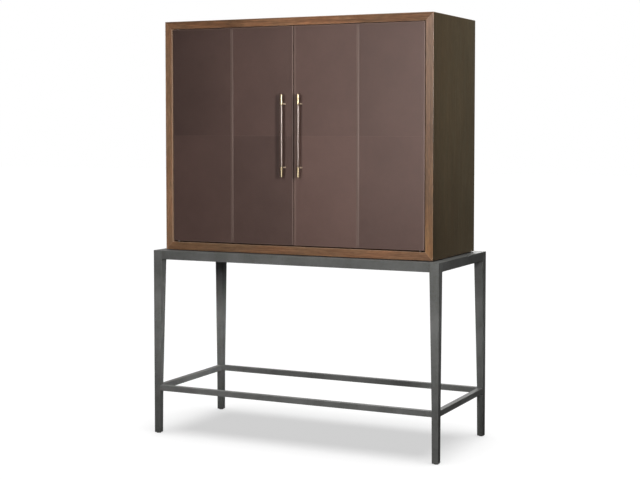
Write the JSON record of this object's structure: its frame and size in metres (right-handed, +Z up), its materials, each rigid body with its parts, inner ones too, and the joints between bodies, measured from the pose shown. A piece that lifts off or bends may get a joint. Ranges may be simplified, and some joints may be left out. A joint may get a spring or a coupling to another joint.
{
  "type": "bar armoire",
  "caption": "Bar armoire: leather-clad inset doors with brass bar pulls on a mitred wooden case, standing on an open base of tapered steel legs with stretchers.",
  "frame": {"origin": "on the floor under the middle of the base", "axes": "+Z up, front towards -Y, +X to the right seen from the front"},
  "size_m": [1.275, 0.554, 1.727],
  "materials": {
    "blackened_steel": "blackened steel, satin",
    "nylon": "black nylon",
    "rubber_spacer": "black rubber",
    "zinc_steel": "black zinc plated",
    "black_ply": "black stained plywood",
    "case_wood": "brown stained hardwood, satin",
    "inside_wood": "brown stained veneer, satin",
    "satin_brass": "satin brass",
    "catch_plastic": "dark brown plastic",
    "door_leather": "smooth brown leather",
    "grip_leather": "polished brown leather",
    "polished_brass": "polished brass"
  },
  "bodies": {
    "cabinet": {"apron_back": "blackened_steel", "apron_front": "blackened_steel", "apron_left": "blackened_steel", "apron_right": "blackened_steel", "back_panel": "inside_wood", "bar_shelf": "inside_wood", "bottle_rack_board": "inside_wood", "bottle_rack_uprights": "inside_wood", "case_bolts": "zinc_steel", "case_bottom": "case_wood", "case_side_left": "case_wood", "case_side_right": "case_wood", "case_spacers": "rubber_spacer", "case_top": "case_wood", "cross_bars": "blackened_steel", "deck_panel": "black_ply", "divider_lower": "inside_wood", "divider_upper": "inside_wood", "door_catches": "catch_plastic", "glides": "nylon", "leg_back_left": "blackened_steel", "leg_back_right": "blackened_steel", "leg_front_left": "blackened_steel", "leg_front_right": "blackened_steel", "shelf_lower": "inside_wood", "shelf_pins": "satin_brass", "shelf_upper": "inside_wood", "socket_plates": "zinc_steel", "stemware_plates": "satin_brass", "stemware_strips": "inside_wood", "stretcher_back": "blackened_steel", "stretcher_front": "blackened_steel", "stretcher_left": "blackened_steel", "stretcher_right": "blackened_steel"},
    "door_left": {"door_left_core": "inside_wood", "door_left_handle_end_lower": "polished_brass", "door_left_handle_end_upper": "polished_brass", "door_left_handle_grip": "grip_leather", "door_left_handle_posts": "polished_brass", "door_left_handle_screws": "zinc_steel", "door_left_pivots": "zinc_steel", "door_left_strike": "zinc_steel", "door_left_strip": "door_leather", "door_left_tile_lower_inner": "door_leather", "door_left_tile_lower_outer": "door_leather", "door_left_tile_upper_inner": "door_leather", "door_left_tile_upper_outer": "door_leather"},
    "door_right": {"door_right_core": "inside_wood", "door_right_handle_end_lower": "polished_brass", "door_right_handle_end_upper": "polished_brass", "door_right_handle_grip": "grip_leather", "door_right_handle_posts": "polished_brass", "door_right_handle_screws": "zinc_steel", "door_right_pivots": "zinc_steel", "door_right_strike": "zinc_steel", "door_right_strip": "door_leather", "door_right_tile_lower_inner": "door_leather", "door_right_tile_lower_outer": "door_leather", "door_right_tile_upper_inner": "door_leather", "door_right_tile_upper_outer": "door_leather"}
  },
  "joints": [
    {"name": "door_left_swing", "type": "hinge", "parent": "cabinet", "child": "door_left", "pos_m": [-0.5418, -0.2285, 1.252], "axis": [0, 0, -1], "range_deg": [0, 110]},
    {"name": "door_right_swing", "type": "hinge", "parent": "cabinet", "child": "door_right", "pos_m": [0.5418, -0.2285, 1.252], "axis": [0, 0, 1], "range_deg": [0, 110]}
  ]
}
